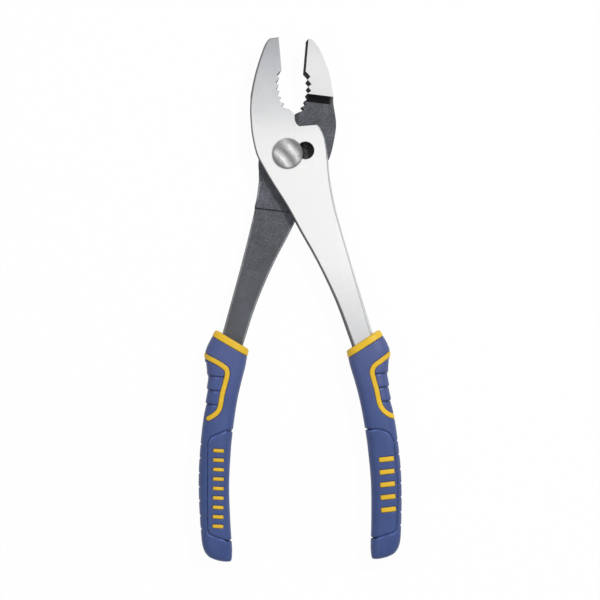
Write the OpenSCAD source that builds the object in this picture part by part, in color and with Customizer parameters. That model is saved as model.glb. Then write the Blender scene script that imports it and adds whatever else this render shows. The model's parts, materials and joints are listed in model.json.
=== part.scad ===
// Slip joint pliers with two-position pivot and two-shot cushion grips.
// +X to the right, +Y from the handles to the jaws, +Z up from the bench.
// The origin is on the pivot axis at the outer face of the nut, which rests on the bench.

/* [Steel halves] */
// Reach of the jaws above the pivot
jaw_len = 55.6; // [50:0.1:64]
// Width of one half across the joint
head_w = 33.7; // [32:0.1:37]
// Thickness of one half at the joint
plate_t = 5.2; // [4.6:0.1:6]
// Reach of the shanks from the pivot down to the grips
shank_len = 93.3; // [85:0.1:115]
// Side reach of a shank at the top of its grip
handle_out = 24.9; // [23:0.1:29]
// Width of a shank where it enters its grip
shank_w = 9.2; // [8.4:0.1:10]
// Height of the flat joint channel above and below the pivot
channel_reach = 26; // [25.5:0.1:28]
// Play between the two joint faces
joint_gap = 0.1; // [0.06:0.01:0.2]
// Bevel along the outer edges
edge_bevel = 0.4; // [0.2:0.05:0.6]
// How far each half is turned out of line in the drawn pose, in degrees
half_turn = 7; // [3:0.5:12]

/* [Teeth] */
// Number of coarse teeth in each pipe grip
tooth_count = 6; // [4:1:8]
// Depth of a coarse tooth
tooth_depth = 1.6; // [1:0.1:2]
// How far the pipe grip is hollowed
grip_hollow = 1.9; // [1:0.1:2.5]
// Pitch of the fine serrations near the tips
serration_pitch = 0.85; // [0.7:0.05:1.5]
// Depth of the fine serrations
serration_depth = 0.2; // [0.1:0.05:0.35]
// Sideways lean of the gripping walls through the jaw
wall_lean = 1.2; // [0.6:0.1:1.4]

/* [Pivot] */
// Diameter of the bolt in the joint
bolt_d = 8.1; // [7.5:0.1:9]
// Clearance on the bolt's diameter in its holes
bolt_play = 0.16; // [0.1:0.02:0.2]
// Distance between the two holes of the slip slot
slot_pitch = 8.6; // [7.5:0.1:9]
// Width across the two flats of the bolt
flat_w = 5.2; // [4.5:0.1:6]
// Diameter of the domed head
dome_d = 15; // [13:0.1:16]
// Height of the domed head
dome_h = 4.2; // [3:0.1:5]
// Straight rim below the dome
dome_rim = 0.7; // [0.4:0.1:1.2]
// Diameter of the threaded end
stud_d = 6; // [5:0.1:6.5]
// Width across the flats of the nut
nut_w = 11; // [10:0.1:13]
// Thickness of the nut
nut_h = 3.4; // [3:0.1:5]
// Play under the head and the nut
head_gap = 0.05; // [0.03:0.01:0.1]

/* [Grips] */
// Length of a grip
grip_len = 104.6; // [95:0.1:120]
// Width of a grip
grip_w = 14.4; // [13.5:0.1:17]
// Depth of a grip, front to back
grip_depth = 15.4; // [14.5:0.1:18]
// Wall of the outer sleeve
sleeve_t = 1.7; // [1.4:0.1:1.8]
// Thickness of the collar at the top of a grip
collar_t = 3.4; // [2:0.1:4]
// Slant of the collar, in degrees
collar_slant = 26.2; // [20:0.1:32]
// Depth to which the steel sits in the collar
seat = 1.2; // [0.8:0.1:1.6]
// Width of the accent band
band_w = 2.3; // [1.8:0.1:3]
// How far the collar, band and marks stand proud
proud = 0.25; // [0.1:0.05:0.4]
// Width of the grooves round the panel and across the thumb pad
groove_w = 0.9; // [0.6:0.1:1.2]
// Depth of those grooves
groove_depth = 0.5; // [0.3:0.05:0.7]
// Length of the tang inside a grip
tang_len = 66; // [50:1:75]
// Width of the tang
tang_w = 6; // [5:0.1:6.4]
// Thickness of the tang
tang_t = 6; // [5:0.1:6.4]

/* [Hidden] */

round_fn = 96;
over = 2;
fit_gap = 0.05;

// Heights above the bench
mid_z = nut_h + head_gap + plate_t;
hole_d = bolt_d + bolt_play;
neck_w = flat_w + bolt_play;

// Offset of the back half's hole from the place of the front half's near hole
back_hole = 0.163 * head_w;
// Angle of the slip slot in the front half, in degrees
slot_turn = 2.7;
// Extra lean of the back shank, in degrees
back_lean = 2.2;
// Trim of the back shank's outer side, as a share of shank_w
back_trim_share = 0.04;
// Turn of each grip against its half, in degrees
front_grip_turn = -0.9;
back_grip_turn = -3.3;
// Side shift of the band, pad and panel on each grip
front_print = 0.65;
back_print = -0.65;

// Shares of head_w across and jaw_len up: outer edge of each jaw from the tip down
front_jaw_shares = [[-0.047, 1], [-0.095, 0.973], [-0.166, 0.899], [-0.279, 0.752],
                    [-0.368, 0.604], [-0.434, 0.453]];
back_jaw_shares = [[0.03, 0.985], [-0.006, 0.966], [-0.094, 0.906], [-0.188, 0.811],
                   [-0.266, 0.715], [-0.326, 0.6], [-0.391, 0.459]];
// Shares of head_w both ways: edges of the joint, outer side and gap side
joint_left_shares = [[-0.456, 0.519], [-0.459, 0.32], [-0.433, 0.062], [-0.371, -0.119]];
joint_right_shares = [[0.35, 0.5], [0.457, 0.365], [0.507, 0.288], [0.543, 0.148],
                      [0.549, -0.059], [0.546, -0.19]];
// Corner of the blank beyond the gap, as a share of head_w
blank_corner_share = 0.24;
// Shares of shank_len down, handle_out across and shank_w for the half width
shank_shares = [[0.139, 0.189, 1.457], [0.272, 0.317, 1.163], [0.403, 0.447, 0.987],
                [0.561, 0.617, 0.788], [0.775, 0.823, 0.598], [0.96, 0.966, 0.513],
                [1.06, 1.04, 0.5]];
// Gripping flat from the tip down, then the coarse teeth, as shares of head_w and jaw_len
flat_top_share = [0.077, 0.989];
tooth_from_share = [0.062, 0.723];
tooth_to_share = [0.039, 0.428];
last_gullet_share = [-0.009, 0.406];
pocket_end_share = [0.11, 0.367];
// Spacing of the coarse teeth, which grow finer towards the pivot
tooth_ease_share = 0.87;
tooth_skew_share = 0.6;
// Wire notch at the foot of the gap, as shares of head_w
notch_shares = [[0.163, 0.543], [0.157, 0.457], [0.175, 0.4], [0.208, 0.362], [0.463, 0.356]];
// Bevel of the cutting edge beside the notch, as shares of head_w
cutter_bevel_share = 0.12;
cutter_low_share = 0.33;
cutter_high_share = 0.66;
// Offset of the back half's gap from the front half's, as shares of head_w
back_gap_share = [0.027, -0.035];
// Rise or fall of the gripping walls through the jaw, as a share of wall_lean
front_rise_share = -0.92;
back_rise_share = 0.88;
// Widening of the walls per unit of depth, at the jaws and along the shanks
jaw_draft_share = 0.08;
shank_draft_share = 0.15;
// Step from the jaw's full thickness down to the channel
step_run = 0.67 * plate_t;
step_bow_share = 0.25;
step_parts = 4;
// Relief of the shank below the channel, and where it thickens again
relief = 0.085 * plate_t;
channel_low_share = 1.06;
swell_from_share = 0.62;
swell_to_share = 0.96;

// Shares of grip_len down, grip_w to the outer and inner edge, grip_depth for the half depth
grip_shares = [[-0.086, 0.45, -0.6, 0.43], [-0.014, 0.682, -0.597, 0.465],
               [0.024, 0.8, -0.59, 0.482], [0.062, 0.86, -0.556, 0.494],
               [0.1, 0.815, -0.524, 0.488], [0.139, 0.74, -0.472, 0.476],
               [0.182, 0.71, -0.413, 0.468], [0.253, 0.714, -0.333, 0.468],
               [0.33, 0.746, -0.278, 0.48], [0.42, 0.79, -0.236, 0.495],
               [0.54, 0.806, -0.222, 0.5], [0.66, 0.78, -0.245, 0.5],
               [0.77, 0.696, -0.32, 0.49], [0.865, 0.602, -0.403, 0.47],
               [0.94, 0.497, -0.48, 0.42], [0.98, 0.29, -0.493, 0.325],
               [1, -0.06, -0.4, 0.15]];
ring_points = 24;
squareness = 2.7;
// Height of each collar's top face on the grip's own axis, as a share of grip_w
front_collar_share = 0.036;
back_collar_share = 0.142;
// Shares of grip_len down and grip_w across: middle line of the accent band
band_shares = [[0.065, 1], [0.096, 0.5], [0.116, 0.25], [0.142, 0.12], [0.18, 0.125],
               [0.29, 0.255], [0.326, 0.36], [0.347, 0.52], [0.362, 1]];
// Grooves across the thumb pad, and the two notches in the inner edge
pad_groove_shares = [0.158, 0.222, 0.286];
pad_groove_in_share = 0.28;
inner_notch_shares = [0.405, 0.905];
// Place of the raised marks: grip_len down from first to last, and the middle across
front_mark_shares = [0.545, 0.775];
back_mark_shares = [0.49, 0.835];
front_mark_middle_shares = [0.26, 0.15];
back_mark_middle_shares = [0.26, 0.12];
front_mark_count = 5;
back_mark_count = 9;
// Length and width of one mark, as shares of grip_w
front_mark_size_share = [0.5, 0.16];
back_mark_size_share = [0.36, 0.12];
// Middle line of the tang as shares of tang_len down and grip_w across, with its half width
tang_shares = [[-0.07, -0.06, 0.55], [0.06, 0.02, 0.6], [0.3, 0.2, 0.56], [0.62, 0.29, 0.5],
               [0.96, 0.28, 0.45], [1, 0.28, 0.3]];

curve_steps = 3;

function dot_scale(shares, sizes) = [for (p = shares) [p[0] * sizes[0], p[1] * sizes[1]]];
function reversed(list) = [for (i = [len(list) - 1:-1:0]) list[i]];

// Smooth curve through a list of points, with a few steps between each pair
function knot(a, b, c, d, t) =
    0.5 * (2 * b + (c - a) * t + (2 * a - 5 * b + 4 * c - d) * t * t
           + (3 * b - a - 3 * c + d) * t * t * t);
function smooth(p, steps = curve_steps) =
    concat([for (i = [0:len(p) - 2]) for (k = [0:steps - 1])
                knot(p[max(i - 1, 0)], p[i], p[i + 1], p[min(i + 2, len(p) - 1)], k / steps)],
           [p[len(p) - 1]]);

// Outline moved outward by its own amount at each corner
function unit(v) = v / max(norm(v), 1e-9);
function side_normal(a, b) = unit([b[1] - a[1], a[0] - b[0]]);
function corner_out(p, i) =
    let (n = len(p), m = side_normal(p[(i + n - 1) % n], p[i]), k = side_normal(p[i], p[(i + 1) % n]),
         s = unit(m + k))
    s / max(s * m, 0.6);
function grown(p, amounts) = [for (i = [0:len(p) - 1]) p[i] + amounts[i] * corner_out(p, i)];
function flat_list(lists) = [for (l = lists) for (v = l) v];

// Solid skin over rings of equal, even length, listed from the top one down
module stack(rings) {
    n = len(rings[0]);
    last = (len(rings) - 1) * n;
    faces = concat([for (i = [0:n / 2 - 2]) [n - 1 - i, n - 2 - i, i + 1, i]],
                   [for (r = [0:len(rings) - 2]) for (i = [0:n - 1])
                        [r * n + i, r * n + (i + 1) % n, (r + 1) * n + (i + 1) % n, (r + 1) * n + i]],
                   [for (i = [0:n / 2 - 2]) [last + i, last + i + 1, last + n - 2 - i, last + n - 1 - i]]);
    polyhedron(flat_list(rings), faces, convexity = 8);
}
function ring(outline, z) = [for (p = outline) [p[0], p[1], z]];
// Rows from side to side, top end first, through outlines that go down the left and up the right
function rows_across(rings) =
    let (n = len(rings[0]))
    [for (i = [0:n / 2 - 1]) concat([for (r = rings) r[n - 1 - i]], [for (r = reversed(rings)) r[i]])];

// Steel halves. Both are drawn alike, outer face up at plate_t, joint face at zero.
function shank_half(side, share, trim) = side * (share - (side > 0 ? trim : 0)) * shank_w;
function shank_side(side, lean, trim) =
    [for (s = shank_shares)
        [s[1] * handle_out + shank_half(side, s[2], trim) - s[0] * shank_len * tan(lean),
         -s[0] * shank_len]];
// Left side of the blank from the tip down, and right side at the same heights
function blank_left(jaw, lean, trim) =
    smooth(concat(dot_scale(jaw, [head_w, jaw_len]), dot_scale(joint_left_shares, [head_w, head_w]),
                  shank_side(-1, lean, trim)));
function blank_right(left, lean, trim) =
    let (side = concat([[left[0][1], blank_corner_share * head_w]],
                       [for (p = smooth(concat(dot_scale(joint_right_shares, [head_w, head_w]),
                                               shank_side(1, lean, trim)))) [p[1], p[0]]]))
    [for (p = left) [lookup(p[1], side), p[1]]];
function blank_outline(jaw, lean, trim) =
    let (left = blank_left(jaw, lean, trim)) concat(left, reversed(blank_right(left, lean, trim)));
// The same outline with each point of its right side level with one of its left side
function levelled(outline) =
    let (n = len(outline) / 2, left = [for (i = [0:n - 1]) outline[i]],
         right = [for (i = [n:2 * n - 1]) [outline[i][1], outline[i][0]]])
    concat(left, reversed([for (p = left) [lookup(p[1], right), p[1]]]));
// Draft of the walls, which grows from the jaws to the shanks
function draft(y) = jaw_draft_share
    + (shank_draft_share - jaw_draft_share) * max(0, min(1, -y / channel_reach));
module blank(jaw, lean, trim, grow = 0) {
    outline = blank_outline(jaw, lean, trim);
    bevel = [for (p = outline) grow - edge_bevel];
    plain = [for (p = outline) grow];
    deep = [for (p = outline) grow + 2 * plate_t * draft(p[1])];
    stack(rows_across([ring(levelled(grown(outline, bevel)), plate_t + grow),
                       ring(levelled(grown(outline, plain)), plate_t + grow - edge_bevel),
                       ring(levelled(grown(outline, deep)), -plate_t - grow)]));
}

// Coarse teeth along a hollow line, with each gullet set back by the tooth depth
function tooth_tip(s, a, b) =
    let (along = b - a) a + along * s + 4 * grip_hollow * s * (1 - s) * side_normal(b, a) * -1;
function coarse_teeth(a, b) =
    [for (i = [0:tooth_count - 2])
        let (s = pow(i / (tooth_count - 1), tooth_ease_share),
             t = pow((i + 1) / (tooth_count - 1), tooth_ease_share),
             g = s + (t - s) * tooth_skew_share)
        each [tooth_tip(s, a, b), tooth_tip(g, a, b) - tooth_depth * side_normal(a, b) * -1]];
// Fine serrations along the flat near the tip
function fine_teeth(a, b) =
    let (n = floor(norm(b - a) / serration_pitch), out = side_normal(b, a) * -1)
    [for (i = [0:n - 1]) each [a + (b - a) * i / n,
                               a + (b - a) * (i + 0.5) / n + out * serration_depth]];
function gap_edge() =
    let (size = [head_w, jaw_len],
         top = dot_scale([flat_top_share], size)[0],
         first = dot_scale([tooth_from_share], size)[0],
         last = dot_scale([tooth_to_share], size)[0])
    concat(fine_teeth(top, first), coarse_teeth(first, last), [last],
           dot_scale([last_gullet_share, pocket_end_share], size),
           dot_scale(notch_shares, [head_w, head_w]));
module gap_cutter(offset, rise) {
    edge = [for (p = gap_edge()) p + offset * head_w];
    left = concat([[edge[0][0], jaw_len + over * over]], edge);
    outline = concat(left, reversed([for (p = left) [head_w, p[1]]]));
    lean = wall_lean * [-1, rise] / (2 * plate_t);
    stack(rows_across([ring([for (p = outline) p - lean * over], plate_t + over),
                       ring([for (p = outline) p + lean * (2 * plate_t + over)], -plate_t - over)]));
}
// Space for the other half: the channel, the step to the jaw and the relief along the shank
module joint_cutter(drop = 0) {
    top = channel_reach + step_run;
    low = -channel_low_share * channel_reach;
    face = joint_gap / 2;
    far = -shank_len - 2 * channel_reach;
    step = [for (i = [0:step_parts])
        let (s = i / step_parts)
        [top - step_run * s + 4 * step_bow_share * step_run * s * (1 - s), -plate_t + (plate_t + face) * s]];
    profile = concat([[top, -plate_t - over]], step,
                     [[low, face], [low, face + relief], [-swell_from_share * shank_len, face + relief],
                      [-swell_to_share * shank_len, -tang_t / 2], [far, -tang_t / 2],
                      [far, -plate_t - over]]);
    translate([0, 0, -drop])
        rotate([90, 0, 90])
            linear_extrude(height = 3 * head_w, center = true)
                polygon(profile);
}
// Ground bevel behind the cutting edge beside the notch
module cutter_bevel(offset) {
    x = (notch_shares[0][0] + offset[0]) * head_w;
    wide = cutter_bevel_share * head_w;
    translate([0, cutter_high_share * head_w, 0])
        rotate([90, 0, 0])
            linear_extrude(height = (cutter_high_share - cutter_low_share) * head_w)
                polygon([[x - wide, 0], [x + wide, 0], [x + wide, plate_t + over], [x, plate_t + over],
                         [x, plate_t - edge_bevel]]);
}
module front_forging(grow = 0) {
    difference() {
        blank(front_jaw_shares, 0, 0, grow);
        gap_cutter([0, 0], front_rise_share);
        joint_cutter(grow);
        at_front_grip() under_collar(seat + grow, 1);
    }
}
module back_forging(grow = 0) {
    difference() {
        blank(back_jaw_shares, back_lean, back_trim_share, grow);
        gap_cutter(back_gap_share, back_rise_share);
        joint_cutter(grow);
        cutter_bevel(back_gap_share);
        at_back_grip() under_collar(seat + grow, -1);
    }
}
// Tang in the frame of its grip
function tang_outline() =
    let (rows = [for (s = tang_shares) [s[0] * tang_len, s[1] * grip_w, s[2] * tang_w]])
    concat([for (r = rows) [r[1] - r[2], -r[0]]],
           reversed([for (r = rows) [r[1] + r[2], -r[0]]]));
module tang(grow = 0) {
    outline = tang_outline();
    translate([0, 0, -tang_t / 2 - grow])
        linear_extrude(height = tang_t + 2 * grow)
            polygon(grown(outline, [for (p = outline) grow]));
}

// Places of the pieces in the drawn pose
module place_front() {
    translate([0, 0, mid_z])
        rotate(half_turn)
            children();
}
module place_back() {
    translate([0, 0, mid_z])
        rotate(-half_turn)
            rotate([0, 180, 0])
                translate([-back_hole, 0, 0])
                    children();
}
module at_front_grip() {
    translate([handle_out, -shank_len, 0])
        rotate(front_grip_turn)
            children();
}
module at_back_grip() {
    translate([handle_out - shank_len * tan(back_lean), -shank_len, 0])
        rotate(back_grip_turn)
            children();
}
module bore(at) {
    translate([at[0], at[1], -over])
        cylinder(h = plate_t + 2 * over, d = hole_d, $fn = round_fn);
}
module front_half() {
    far_hole = slot_pitch * [cos(slot_turn), sin(slot_turn)];
    color([0.84, 0.85, 0.87])
        place_front()
            difference() {
                union() {
                    front_forging();
                    at_front_grip() tang();
                }
                bore([0, 0]);
                bore(far_hole);
                rotate(slot_turn)
                    translate([0, -neck_w / 2, -over])
                        cube([slot_pitch, neck_w, plate_t + 2 * over]);
            }
}
module back_half() {
    color([0.36, 0.37, 0.39])
        place_back()
            difference() {
                union() {
                    back_forging();
                    at_back_grip() tang();
                }
                bore([back_hole, 0]);
            }
}

// Bolt: domed head, flats in the slot, round neck in the back half, threaded end
module pivot_bolt() {
    head_z = mid_z + plate_t + head_gap;
    cap_h = dome_h - dome_rim;
    cap_r = (dome_d * dome_d / 4 + cap_h * cap_h) / (2 * cap_h);
    color([0.66, 0.67, 0.69]) {
        intersection() {
            translate([0, 0, head_z])
                cylinder(h = dome_h, d = dome_d, $fn = round_fn);
            translate([0, 0, head_z + dome_h - cap_r])
                sphere(r = cap_r, $fn = round_fn);
        }
        translate([0, 0, nut_h])
            cylinder(h = mid_z - nut_h, d = bolt_d, $fn = round_fn);
        intersection() {
            translate([0, 0, nut_h])
                cylinder(h = head_z - nut_h + dome_rim, d = bolt_d, $fn = round_fn);
            rotate(half_turn + slot_turn)
                translate([-bolt_d, -flat_w / 2, nut_h])
                    cube([2 * bolt_d, flat_w, head_z - nut_h + dome_rim]);
        }
        cylinder(h = mid_z, d = stud_d, $fn = round_fn);
    }
}
module pivot_nut() {
    color([0.6, 0.61, 0.63])
        difference() {
            rotate(half_turn)
                cylinder(h = nut_h, d = nut_w / cos(30), $fn = 6);
            translate([0, 0, -over])
                cylinder(h = nut_h + 2 * over, d = stud_d + fit_gap, $fn = round_fn);
        }
}

// Grips. Each is drawn with its top at the origin, running down -Y, outer edge towards +X.
function shell_ring(row, inset) =
    let (out = row[1] * grip_w - inset, inner = row[2] * grip_w + inset,
         deep = row[3] * grip_depth - inset,
         mid = (out + inner) / 2, half = (out - inner) / 2,
         y = -row[0] * (grip_len - inset))
    [for (k = [0:ring_points - 1])
        let (a = -360 * k / ring_points, c = cos(a), s = sin(a))
        [mid + half * sign(c) * pow(abs(c), 2 / squareness), y,
         max(deep, inset / 2) * sign(s) * pow(abs(s), 2 / squareness)]];
module shell(inset = 0) {
    stack([for (row = grip_shares) shell_ring(row, inset)]);
}
function grip_points(shares, shift = 0) = [for (p = shares) [p[1] * grip_w + shift, -p[0] * grip_len]];
// Strip of one width that follows a line, right through the grip, in mitred lengths
function mitre(p, i) =
    let (a = side_normal(p[max(i - 1, 0)], p[max(i, 1)]),
         b = side_normal(p[min(i, len(p) - 2)], p[min(i + 1, len(p) - 1)]), s = unit(a + b))
    s / (s * b);
module strip(points, width) {
    edge = [for (i = [0:len(points) - 1]) mitre(points, i) * width / 2];
    for (i = [0:len(points) - 2])
        hull()
            translate([0, 0, -grip_depth])
                linear_extrude(height = 2 * grip_depth)
                    polygon([points[i] - edge[i], points[i] + edge[i],
                             points[i + 1] + edge[i + 1], points[i + 1] - edge[i + 1]]);
}
function collar_lift(face) = (face > 0 ? front_collar_share : back_collar_share) * grip_w;
// Everything on the shank's side of a line along the collar, this far below its top face
module above_collar(depth, face) {
    rotate(collar_slant)
        translate([-2 * grip_w, collar_lift(face) - depth, -grip_depth])
            cube([4 * grip_w, grip_len, 2 * grip_depth]);
}
// Everything on the grip's side of the same line
module under_collar(depth, face) {
    rotate(collar_slant)
        translate([-2 * grip_w, collar_lift(face) - depth - grip_len, -grip_depth])
            cube([4 * grip_w, grip_len, 2 * grip_depth]);
}
module band_strip(shift) {
    strip(grip_points(band_shares, shift), band_w);
}
module pad_area(shift) {
    line = grip_points(band_shares, shift);
    translate([0, 0, -grip_depth])
        linear_extrude(height = 2 * grip_depth)
            polygon(concat(line, [[2 * grip_w, line[len(line) - 1][1]], [2 * grip_w, line[0][1]]]));
}
module marks(spots, middles, count, size, shift, face) {
    for (i = [0:count - 1]) {
        s = i / (count - 1);
        translate([(middles[0] + (middles[1] - middles[0]) * s) * grip_w + shift - size[0] * grip_w / 2,
                   -(spots[0] + (spots[1] - spots[0]) * s) * grip_len - size[1] * grip_w / 2,
                   (face - 1) / 2 * grip_depth])
            cube([size[0] * grip_w, size[1] * grip_w, grip_depth]);
    }
}
// Thin layer under the surface, for grooves that follow it
module groove_layer() {
    difference() {
        shell(-over);
        shell(groove_depth);
    }
}
module pad_grooves(shift) {
    for (s = pad_groove_shares)
        translate([pad_groove_in_share * grip_w + shift, -s * grip_len, -grip_depth])
            cube([2 * grip_w, groove_w, 2 * grip_depth]);
}
module inner_notches() {
    for (s = inner_notch_shares) {
        row = lookup(s, [for (g = grip_shares) [g[0], g[2]]]) * grip_w;
        translate([row - over, -s * grip_len, -grip_depth])
            cube([over + 2 * groove_depth, groove_w, 2 * grip_depth]);
    }
}
// First shot: inner body with the collar, the accent band and the raised marks
module grip_core(shift, spots, middles, count, size, face) {
    shell(sleeve_t);
    intersection() {
        shell(-proud);
        union() {
            above_collar(collar_t, face);
            band_strip(shift);
            marks(spots, middles, count, size, shift, face);
        }
    }
}
module trimmed_core(shift, spots, middles, count, size, face) {
    difference() {
        grip_core(shift, spots, middles, count, size, face);
        above_collar(0, face);
        tang(fit_gap);
    }
}
module grip_sleeve(shift, spots, middles, count, size, face) {
    difference() {
        shell();
        shell(sleeve_t);
        above_collar(collar_t, face);
        band_strip(shift);
        pad_area(shift);
        marks(spots, middles, count, size, shift, face);
        inner_notches();
    }
}
module thumb_pad(shift) {
    difference() {
        intersection() {
            shell();
            pad_area(shift);
        }
        shell(sleeve_t);
        band_strip(shift);
        intersection() {
            groove_layer();
            pad_grooves(shift);
        }
    }
}
yellow = [0.91, 0.74, 0.24];
blue = [0.32, 0.37, 0.57];
module front_grip_core() {
    color(yellow)
        place_front()
            difference() {
                at_front_grip()
                    trimmed_core(front_print, front_mark_shares, front_mark_middle_shares,
                                 front_mark_count, front_mark_size_share, 1);
                front_forging(fit_gap);
            }
}
module front_grip_sleeve() {
    color(blue)
        place_front()
            at_front_grip()
                grip_sleeve(front_print, front_mark_shares, front_mark_middle_shares,
                            front_mark_count, front_mark_size_share, 1);
}
module front_thumb_pad() {
    color(blue)
        place_front()
            at_front_grip()
                thumb_pad(front_print);
}
module back_grip_core() {
    color(yellow)
        place_back()
            difference() {
                at_back_grip()
                    trimmed_core(back_print, back_mark_shares, back_mark_middle_shares,
                                 back_mark_count, back_mark_size_share, -1);
                back_forging(fit_gap);
            }
}
module back_grip_sleeve() {
    color(blue)
        place_back()
            at_back_grip()
                grip_sleeve(back_print, back_mark_shares, back_mark_middle_shares,
                            back_mark_count, back_mark_size_share, -1);
}
module back_thumb_pad() {
    color(blue)
        place_back()
            at_back_grip()
                thumb_pad(back_print);
}

front_half();
back_half();
pivot_bolt();
pivot_nut();
front_grip_core();
front_grip_sleeve();
front_thumb_pad();
back_grip_core();
back_grip_sleeve();
back_thumb_pad();
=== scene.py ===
"""Slip joint pliers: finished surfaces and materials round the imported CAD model."""

import json
import math
from types import SimpleNamespace

import bmesh
import bpy
import numpy as np
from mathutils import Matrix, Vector


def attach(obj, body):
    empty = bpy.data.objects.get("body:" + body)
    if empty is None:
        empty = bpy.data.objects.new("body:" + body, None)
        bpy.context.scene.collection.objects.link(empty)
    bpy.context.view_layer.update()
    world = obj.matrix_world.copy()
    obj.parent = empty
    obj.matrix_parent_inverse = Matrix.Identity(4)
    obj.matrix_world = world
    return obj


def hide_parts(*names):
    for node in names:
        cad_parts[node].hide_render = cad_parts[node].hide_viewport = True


bl_info = {
    "name": "Slip joint pliers",
    "version": (1, 0, 0),
    "blender": (4, 5, 0),
    "location": "3D View > Sidebar > Pliers",
    "description": "Builds the finished look of a pair of slip joint pliers",
    "category": "Object",
}

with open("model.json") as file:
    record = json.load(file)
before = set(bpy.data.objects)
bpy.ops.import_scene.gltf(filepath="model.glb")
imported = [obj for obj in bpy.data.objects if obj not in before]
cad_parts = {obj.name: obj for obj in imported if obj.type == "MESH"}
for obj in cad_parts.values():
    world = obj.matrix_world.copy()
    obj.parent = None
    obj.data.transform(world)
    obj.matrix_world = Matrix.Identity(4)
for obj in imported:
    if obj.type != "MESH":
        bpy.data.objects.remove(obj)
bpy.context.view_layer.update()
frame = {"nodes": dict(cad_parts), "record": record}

MM = 0.001

# Shares of the grip's length down, its width to the outer and inner edge, its depth for the half
GRIP_ROWS = np.array([
    (-0.12, 0.35, -0.61, 0.42), (-0.086, 0.45, -0.6, 0.43), (-0.048, 0.571, -0.604, 0.45),
    (-0.014, 0.682, -0.597, 0.465), (0.024, 0.797, -0.59, 0.482), (0.062, 0.857, -0.556, 0.494),
    (0.1, 0.81, -0.524, 0.488), (0.139, 0.738, -0.472, 0.476), (0.182, 0.708, -0.413, 0.468),
    (0.253, 0.714, -0.333, 0.468), (0.33, 0.746, -0.278, 0.48), (0.406, 0.784, -0.243, 0.494),
    (0.483, 0.8, -0.222, 0.5), (0.559, 0.804, -0.222, 0.5), (0.636, 0.784, -0.236, 0.5),
    (0.712, 0.738, -0.278, 0.496), (0.789, 0.677, -0.337, 0.486), (0.865, 0.602, -0.403, 0.47),
    (0.918, 0.54, -0.458, 0.446), (0.951, 0.46, -0.483, 0.403), (0.98, 0.288, -0.486, 0.325),
    (0.994, 0.02, -0.458, 0.21), (0.998, -0.16, -0.36, 0.09)])
SQUARENESS = 2.7

# Each grip: its body, its turn and place on its half and, in millimetres down and across from its collar,
# the lines of its band and panel and its raised marks: first, last, their sides, count, length and width
FRONT = {
    "body": "front", "lift": 0.518, "turn": -0.9, "lean": 0.0, "face": 1, "shift": 0.65,
    "band": [(6.0, 14.5), (8.0, 11.2), (10.2, 7.4), (12.2, 4.1), (14.9, 2.7), (18.4, 3.0), (23.8, 3.9),
             (30.2, 4.6), (33.5, 6.0), (35.7, 8.2), (37.0, 10.4), (37.9, 14.0)],
    "panel": [(42.2, -9.0), (42.2, -0.4), (42.0, 1.4), (42.9, 4.6), (44.5, 7.4), (46.2, 8.7), (48.3, 9.4),
              (52.5, 9.7), (60.3, 9.6), (72.3, 9.1), (84.0, 7.5), (90.0, 6.6), (91.3, 6.0), (92.1, 4.4),
              (92.7, 1.1), (93.5, -2.6), (93.9, -5.0), (93.9, -9.0)],
    "marks": (57.0, 81.0, 4.39, 2.81, 5, 7.2, 2.3),
}
BACK = {
    "body": "back", "lift": 2.045, "turn": -3.3, "lean": 2.2, "face": -1, "shift": -0.65,
    "band": [(4.9, 14.5), (7.1, 11.2), (8.8, 7.2), (10.6, 3.6), (12.2, 1.4), (14.7, 0.7), (18.5, 1.3),
             (24.6, 2.5), (30.2, 3.1), (33.1, 4.3), (35.0, 6.4), (36.3, 8.4)],
    "panel": [(41.3, -9.0), (41.3, -1.2), (42.1, 0.8), (43.3, 3.4), (44.6, 6.0), (46.3, 7.5), (48.4, 8.0),
              (52.7, 7.9), (60.6, 7.4), (76.4, 6.4), (84.3, 5.8), (90.1, 5.1), (91.6, 2.9), (92.7, -0.3),
              (93.3, -3.0), (94.1, -4.8), (94.1, -9.0)],
    "marks": (51.3, 87.3, 3.09, 1.08, 9, 5.2, 1.7),
}
# Millimetres down a grip from its collar
PAD_ENDS = (9.5, 36.2)
PAD_GROOVES = (16.1, 22.8, 29.5)
EDGE_NOTCHES = (49.0, 55.6, 62.8, 69.5, 76.1, 83.3, 89.5)
INNER_NOTCHES = (42.0, 94.0)
# The painted highlight on the lip beside a groove: its distance from the middle of the groove and its half
# width
LIP_AT = 0.85
LIP_HALF = 0.42
# How deep a seam between blue and yellow dips, over this width on each side of it; the same reach carries the
# painted shade along the seam
SEAM_REACH = 0.42
BLUE_DIP = 0.3
YELLOW_DIP = 0.2
TONE_LIMITS = (0.35, 2.4)
# Rounding of the collar's top edge, and the lip at its foot
COLLAR_ROLL = 1.1
COLLAR_FOOT = 0.06

# A rim gets its bevel where it has this many widths of room
BEVEL_ROOM = 1.3
# In degrees: what counts as one flat face, what shades as an edge, and the angle of the slip slot
FLAT_ANGLE = 0.6
EDGE_ANGLE = 28
SLOT_TURN = 2.7
# Thickness of a half at the joint, the head's and the nut's clearance, and chamfers of the bolt and nut
PLATE_T = 5.2
HEAD_PLAY = 0.05
NUT_PLAY = 0.025
STUD_CHAMFER = 0.5
NUT_CHAMFER = 0.3
DOME_CORNER = 0.15

# Along the tool from the pivot, in millimetres: the steel, the jaw's ground face, the grips, the part of
# the dark shank where its grain fades out, and the step where the joint's face ends
STEEL_SPAN = (-100, 56)
PAD_SPAN = (20, 56)
GRIP_SPAN = (-195, -92)
SMOOTH_SPAN = (-64, -44)
STEP_DOWN = 27.56
# How strongly the grinding shows, and how bright the ground face is painted, a painted fall-off of its
# reflection, from the grips to the jaw's tip
GRINDING = [(0.0, 0.7), (0.25, 0.4), (0.38, 0.05), (0.68, 0.12), (0.85, 1.0)]
FACE_LEVELS = [(0.0, 0.66), (0.12, 0.77), (0.3, 0.93), (0.62, 0.925), (0.7, 0.88), (0.78, 0.73),
               (0.88, 0.61), (1.0, 0.42)]
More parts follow.
